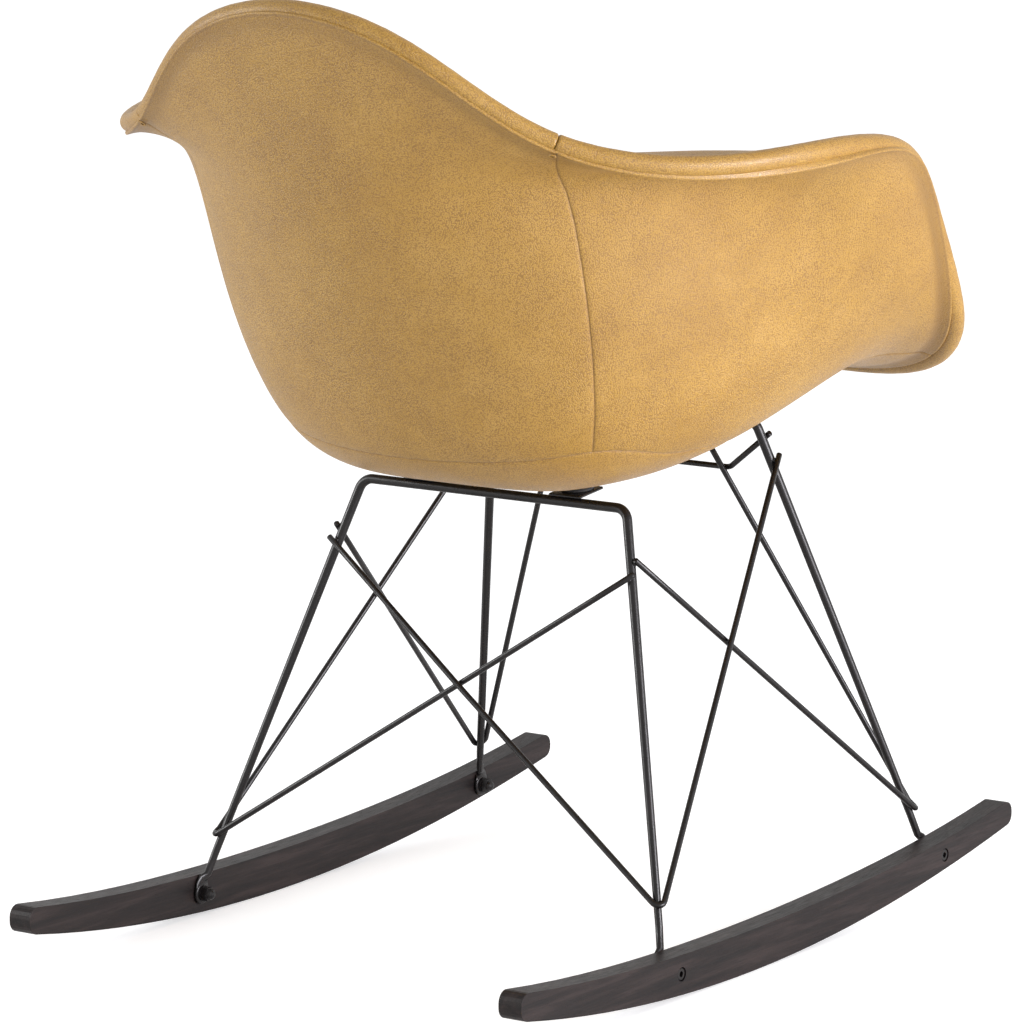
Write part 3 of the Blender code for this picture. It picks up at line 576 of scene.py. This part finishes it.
def close_middle(mesh, ring):
    """Fills the small hole at the middle of the base with a fan."""
    bm = bmesh.new()
    bm.from_mesh(mesh)
    around = bm.verts[:][:len(ring)]
    middle = bm.verts.new(Vector(ring[:, :3].mean(axis=0) + np.array([0.0, SHIFT, 0.0])))
    for here, after in zip(around, around[1:] + around[:1]):
        bm.faces.new((middle, after, here)).smooth = True
    bmesh.ops.recalc_face_normals(bm, faces=bm.faces)
    bm.to_mesh(mesh)
    bm.free()


def shell_panels(leather):
    """The outer leather: the base, and four pieces above its seam."""
    points, seam_row, marks = shell_sheet(0.0, 0.0008, 0.0042)
    front_left, seam_left, _, seam_right, front_right, _ = marks
    base = mesh_from_grid("outer_base", points[:seam_row + 1], wrap=True)
    close_middle(base, points[0])
    walls = np.concatenate([points, points[:, :1]], axis=1)[seam_row:]
    front = np.concatenate([walls[:, front_right:-1], walls[:, :front_left + 1]], axis=1)
    pieces = [("outer_base", base, "leather_base")]
    for name, grid, node in (
            ("outer_side_left", walls[:, front_left:seam_left + 1], "leather_side_left"),
            ("outer_back", walls[:, seam_left:seam_right + 1], "leather_back"),
            ("outer_side_right", walls[:, seam_right:front_right + 1], "leather_side_right"),
            ("outer_front", front, "leather_front")):
        pieces.append((name, mesh_from_grid(name, grid), node))
    for name, mesh, node in pieces:
        piece = new_object(name, mesh, leather)
        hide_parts(node)


def inner_cover(leather):
    """The padded cover on the sitter's side."""
    points, _, _ = shell_sheet(SHELL_DEPTH, 0.0011, 0.0050)
    mesh = mesh_from_grid("inner_cover", points[:, ::-1], wrap=True)
    close_middle(mesh, points[0][::-1])
    cover = new_object("inner_cover", mesh, leather)
    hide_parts("seat_cover", "shell_core")


def roll_swell(run):
    """How much wider or narrower the roll is along its run: tucked ends, a stitch and gathers."""
    from_end = np.minimum(run, run[-1] - run)
    tuck = np.sqrt(np.clip(1 - np.clip(1 - from_end / 0.0018, 0, 1) ** 2, 0.0, 1.0))
    stitch = 1 - 0.040 * np.exp(-((from_end - 0.0075) / 0.0007) ** 2)
    long_wave = 0.006 * np.sin(run * 2 * math.pi / 0.021 + 1.5 * np.sin(run * 37))
    short_wave = 0.004 * np.sin(run * 2 * math.pi / 0.0083 + 2.0 * np.sin(run * 61))
    return (0.80 + 0.20 * tuck) * stitch * (1 + long_wave + short_wave)


def rim_roll(name, node, start, end, material):
    """A padded roll with softly gathered leather and tucked ends."""
    v = np.linspace(start, end, int((end - start) * RIM_STATION_RUN / 0.0028))
    tight = np.array([0.0008, 0.0025, 0.006, 0.011, 0.018])
    v = np.concatenate([v[:1], start + tight, v[1:-1], (end - tight)[::-1], v[-1:]])
    centre, out, normal, radius = rim_frames(v)
    steps = np.linalg.norm(np.diff(centre, axis=0), axis=1)
    radius = radius * roll_swell(np.concatenate([[0.0], np.cumsum(steps)]))
    angles = np.linspace(0, 2 * math.pi, 28, endpoint=False)[None, :, None]
    ring = out[:, None, :] * np.cos(angles) + normal[:, None, :] * np.sin(angles)
    mesh = mesh_from_grid(name, centre[:, None, :] + ring * radius[:, None, None], wrap=True)
    close_ends(mesh)
    roll = new_object(name, mesh, material)
    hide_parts(node)


def rim_knots(material):
    """The small tied loop on the seam where the two rolls meet, on each side."""
    for side, word in SIDES:
        v = np.array([KNOT if side > 0 else TURN - KNOT])
        _, out, normal, _ = rim_frames(v)
        out, normal = Vector(out[0]), Vector(normal[0])
        along = out.cross(normal).normalized()
        place = Vector(surface(np.ones(1), v)[0]) - out * 0.0030 + normal * 0.0009
        loop = []
        for k in range(33):
            a = 2 * math.pi * k / 32
            wide = 0.0021 * (1 + 0.12 * math.sin(2 * a))
            loop.append(place + (along * math.cos(a) + out * math.sin(a)) * wide)
        knot = swept_tube("rim_knot_" + word, loop, [0.00055] * len(loop), 10, material, up=normal)


# ---- base ----------------------------------------------------------------------------------------
def leg_stations(bar, lean, bolt, eye_x):
    """(point, thin, wide) from a foot up the leg and along the bar to its middle, then back down."""
    half = [(Vector((eye_x, bolt[0], bolt[1] + rise)), thin, wide)
            for rise, thin, wide in ((0.0050, 0.0013, 0.0076), (0.0092, 0.0014, 0.0064),
                                     (0.0112, 0.0018, 0.0040))]
    foot = leg_point(bar, lean, 1, bolt[1] + 0.0145)
    foot.x = min(foot.x, eye_x + HALF_EYE - LEG_FOOT_RADIUS)
    half.append((foot, LEG_FOOT_RADIUS * 0.92, LEG_FOOT_RADIUS * 1.08))
    half.append((leg_point(bar, lean, 1, bolt[1] + 0.030), LEG_FOOT_RADIUS, LEG_FOOT_RADIUS))
    for height in (0.10, 0.15, 0.20, 0.25, 0.29):
        share = (height - 0.03) / (bar[2] - 0.03)
        radius = LEG_FOOT_RADIUS + (LEG_TOP_RADIUS - LEG_FOOT_RADIUS) * share
        half.append((leg_point(bar, lean, 1, height), radius, radius))
    bend = fillet(half[-1][0], bar, (0, bar[1], bar[2]), FRAME_BEND_RADIUS, 14)
    straight = [Vector((x, bar[1], bar[2])) for x in (0.08, 0.04, 0.0)]
    half += [(point, LEG_TOP_RADIUS, LEG_TOP_RADIUS) for point in bend + straight]
    return half + [(mirrored(point), thin, wide) for point, thin, wide in reversed(half[:-1])]


def leg_frame(name, node, bar, lean, bolt, material):
    """A bent rod: bar, bends, tapered legs and feet beaten flat into drilled eyes."""
    eye_x = (ROCKER_SPACING - ROCKER_THICKNESS) / 2 - GAP - HALF_EYE
    rings = swept_rings(leg_stations(bar, lean, bolt, eye_x), Vector((1, 0, 0)), 24)
    frame_rod = new_object(name, mesh_from_grid(name, rings, wrap=True), material)
    for side, word in SIDES:
        eye = eye_ring(name + "_eye_" + word, side * eye_x, bolt, material)
        eye.parent = frame_rod
    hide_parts(node)


def eye_ring(name, x, bolt, material):
    """A flattened, drilled eye with a hammered edge."""
    half = ((0.0032, HALF_EYE), (0.0076, HALF_EYE), (0.0081, 0.0011), (0.0084, 0.0005))
    profile = half + tuple((radius, -out) for radius, out in reversed(half))
    y_way, z_way = Vector((0, 1, 0)), Vector((0, 0, 1))
    rings = [ellipse(Vector((x + out, *bolt)), y_way, z_way, radius, radius, 40) for radius, out in profile]
    mesh = mesh_from_grid(name, np.array(rings + rings[:1]), wrap=True)
    mesh.set_sharp_from_angle(angle=math.radians(50))
    eye = new_object(name, mesh, material)
    return eye


def hook_points(bar, lean, side, height, along, rises):
    """A wire's turn around a leg's outer side, from one of its arms to the other."""
    points = []
    for i in range(17):
        t = i / 16
        angle = math.radians(-12 + 110 * t)
        lift = rises[0] * (1 - t) ** 3 + rises[1] * t ** 3
        out = (HOOK_RADIUS * math.cos(angle), along * HOOK_RADIUS * math.sin(angle))
        points.append(leg_point(bar, lean, side, height + lift, out))
    return points


def extended(start, end, extra):
    """The end of a straight arm, carried on past the rod that it crosses."""
    return end + (end - start).normalized() * extra


def rod_run(start, end, pieces):
    return [start.lerp(end, i / pieces) for i in range(1, pieces)]


def wire(name, node, points, material):
    """A thin rod with slightly rounded sheared ends."""
    first, last = points[0], points[-1]
    start = first + (points[1] - first).normalized() * 0.0004
    end = last + (points[-2] - last).normalized() * 0.0004
    points = [first, start] + points[1:-1] + [end, last]
    tip = WIRE_RADIUS * 0.82
    radii = [tip] + [WIRE_RADIUS] * (len(points) - 2) + [tip]
    rod = swept_tube(name, points, radii, 20, material)
    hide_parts(node)


def rear_wire(side, word, material):
    """Hooked around a rear leg: one arm to the front leg, one to the opposite rear leg."""
    hook = hook_points(REAR_BAR, REAR_LEAN, side, REAR_HOOK_HEIGHT, 1, (0.0035, 0.0030))
    front_end = leg_point(FRONT_BAR, FRONT_LEAN, side, REAR_RISE_HEIGHT, (BRACE_OFFSET, 0.0))
    cross_end = leg_point(REAR_BAR, REAR_LEAN, -side, REAR_CROSS_HEIGHT, (0.0, BRACE_OFFSET))
    middle = hook[-1].lerp(cross_end, hook[-1].x / (hook[-1].x - cross_end.x))
    middle.y -= side * (WIRE_RADIUS + GAP)
    first = extended(hook[0], front_end, 0.0065)
    last = extended(middle, cross_end, 0.0065)
    points = [first] + rod_run(first, hook[0], 6) + hook + rod_run(hook[-1], middle, 4) + [middle]
    points += rod_run(middle, last, 4) + [last]
    wire("rear_wire_" + word, "rear_brace_" + word, points, material)


def front_wire(side, word, material):
    """Hooked around a front leg: one arm to the rear leg, one up to the front bar."""
    hook = hook_points(FRONT_BAR, FRONT_LEAN, side, FRONT_HOOK_HEIGHT, -1, (0.0035, 0.0060))
    rear_end = leg_point(REAR_BAR, REAR_LEAN, side, FRONT_CROSS_HEIGHT, (BRACE_OFFSET, 0.0))
    up_end = Vector((side * 0.0625, FRONT_BAR[1] - 0.0070, FRONT_BAR[2] - 0.0065))
    first = extended(hook[0], rear_end, 0.0036)
    points = [first] + rod_run(first, hook[0], 6) + hook + rod_run(hook[-1], up_end, 6) + [up_end]
    wire("front_wire_" + word, "front_brace_" + word, points, material)


def cross_wire(material):
    """The wire across the front legs, dropped in the middle."""
    low = Vector(CROSSBAR_MIDDLE)
    centre = Vector((0, low.y, low.z))
    end = Vector(CROSSBAR_END)
    half = [end] + fillet(end, low, centre, CROSSBAR_BEND_RADIUS, 10)
    points = half + [centre] + [mirrored(point) for point in reversed(half)]
    wire("front_cross_wire", "front_crossbar", points, material)


def weld_bead(name, spot, side, lean, material):
    """A small uneven bead of weld, long up the leg."""
    bm = bmesh.new()
    bmesh.ops.create_icosphere(bm, subdivisions=3, radius=0.0018)
    for vert in bm.verts:
        vert.co.z *= 1.7
        wave = 1 + 0.10 * math.sin(vert.co.z * 2300 + vert.co.x * 900)
        vert.co.x *= wave
        vert.co.y *= wave
        vert.co += Vector((-side * lean[0], -lean[1], 0)) * vert.co.z + spot + Vector((0, SHIFT, 0))
    mesh = bpy.data.meshes.new(name)
    bm.to_mesh(mesh)
    bm.free()
    mesh.shade_smooth()
    weld = new_object(name, mesh, material)


def weld_beads(material):
    """Beads where a wire's arm is fixed to a leg."""
    beside = (BRACE_OFFSET * 0.56, 0.0)
    behind = (0.0, BRACE_OFFSET * 0.56)
    for side, word in SIDES:
        spots = ((FRONT_BAR, FRONT_LEAN, REAR_RISE_HEIGHT, beside),
                 (REAR_BAR, REAR_LEAN, REAR_CROSS_HEIGHT, behind),
                 (REAR_BAR, REAR_LEAN, FRONT_CROSS_HEIGHT, beside))
        for number, (bar, lean, height, out) in enumerate(spots):
            spot = leg_point(bar, lean, side, height, out)
            weld_bead("weld_%s_%d" % (word, number), spot, side, lean, material)


# ---- light and camera ----------------------------------------------------------------------------
def area_light(name, place, target, size, power, colour=(1, 1, 1)):
    data = bpy.data.lights.new(name, "AREA")
    data.shape = "RECTANGLE"
    data.size, data.size_y = size
    data.energy = power
    data.color = colour
    light = bpy.data.objects.new(name, data)
    light.location = place
    light.rotation_euler = (Vector(target) - Vector(place)).to_track_quat("-Z", "Y").to_euler()
    bpy.context.scene.collection.objects.link(light)


def make_world():
    """White surroundings, a little dimmer overhead."""
    world = bpy.data.worlds.new("studio")
    world.use_nodes = True
    tree = world.node_tree
    background = tree.nodes["Background"]
    background.inputs["Color"].default_value = (1.0, 1.0, 1.0, 1.0)
    height = tree.nodes.new("ShaderNodeSeparateXYZ")
    tree.links.new(tree.nodes.new("ShaderNodeTexCoord").outputs["Generated"], height.inputs[0])
    fade = tree.nodes.new("ShaderNodeMapRange")
    for name, value in (("From Min", 0.15), ("From Max", 0.90), ("To Min", 0.98), ("To Max", 0.62)):
        fade.inputs[name].default_value = value
    tree.links.new(height.outputs["Z"], fade.inputs["Value"])
    tree.links.new(fade.outputs[0], background.inputs["Strength"])
    bpy.context.scene.world = world


def make_floor():
    """A wide pale floor, which looks brighter than the light that it throws back on the chair."""
    bpy.ops.mesh.primitive_plane_add(size=30.0, location=(0, 0, -0.0005))
    floor = bpy.context.object
    floor.name = "floor"
    m = Nodes("pale_floor")
    tone = m.ramp(m.noise(0.6, 2.0, 0.5), ((0.3, (0.79, 0.79, 0.79)), (0.7, (0.81, 0.81, 0.81))))
    seen = m.add("LightPath").outputs["Is Camera Ray"]
    glow = m.remap(seen, 0.0, 1.0, 0.06, 0.45)
    floor.data.materials.append(m.set(Base_Color=tone, Roughness=0.9, Emission_Strength=glow,
                                      Emission_Color=(1.0, 1.0, 1.0, 1.0)))


def make_studio():
    make_world()
    make_floor()
    middle = (0, 0, 0.5)
    area_light("near_side", (-3.0, -0.1, 0.70), middle, (1.6, 1.3), 125.0, (0.96, 0.94, 1.0))
    area_light("left_side", (2.6, 1.9, 1.1), middle, (1.2, 1.2), 56.0)
    view = bpy.context.scene.view_settings
    view.view_transform = "Standard"
    view.look = "None"


def make_camera():
    data = bpy.data.cameras.new("camera")
    data.lens = CAMERA_LENS
    data.sensor_width = CAMERA_SENSOR
    camera = bpy.data.objects.new("camera", data)
    camera.location = CAMERA_PLACE
    camera.rotation_euler = (math.pi / 2 - CAMERA_ELEVATION, 0.0, CAMERA_AZIMUTH)
    bpy.context.scene.collection.objects.link(camera)
    bpy.context.scene.camera = camera


# ---- build ---------------------------------------------------------------------------------------
def dress_cad(steel, wood, rubber):
    """Better materials on the CAD nodes that stay."""
    for name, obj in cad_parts.items():
        if name.startswith(("rocker_left", "rocker_right")):
            chosen = wood
        elif name.startswith("seat_mount"):
            chosen = rubber
        elif name.startswith(("rocker_", "seat_plate", "seat_screw", "rear_", "front_")):
            chosen = steel
        else:
            continue
        for slot in obj.material_slots:
            slot.material = chosen


def build():
    steel = steel_material()
    leather = leather_material("tan_leather_fine", True)
    rim = leather_material("tan_leather_rim_fine", False)
    dress_cad(steel, wood_material(), rubber_material())
    shell_panels(leather)
    inner_cover(leather)
    rim_roll("rim_roll_back", "rim_back", JOINT + 0.002, TURN - JOINT - 0.002, rim)
    rim_roll("rim_roll_arms", "rim_arms", -JOINT + 0.002, JOINT - 0.002, rim)
    rim_knots(rim)
    leg_frame("rear_legs", "rear_leg_frame", REAR_BAR, REAR_LEAN, REAR_BOLT, steel)
    leg_frame("front_legs", "front_leg_frame", FRONT_BAR, FRONT_LEAN, FRONT_BOLT, steel)
    for side, word in SIDES:
        rear_wire(side, word, steel)
        front_wire(side, word, steel)
    cross_wire(steel)
    weld_beads(steel)
    make_studio()
    make_camera()
    bpy.context.view_layer.update()


build()
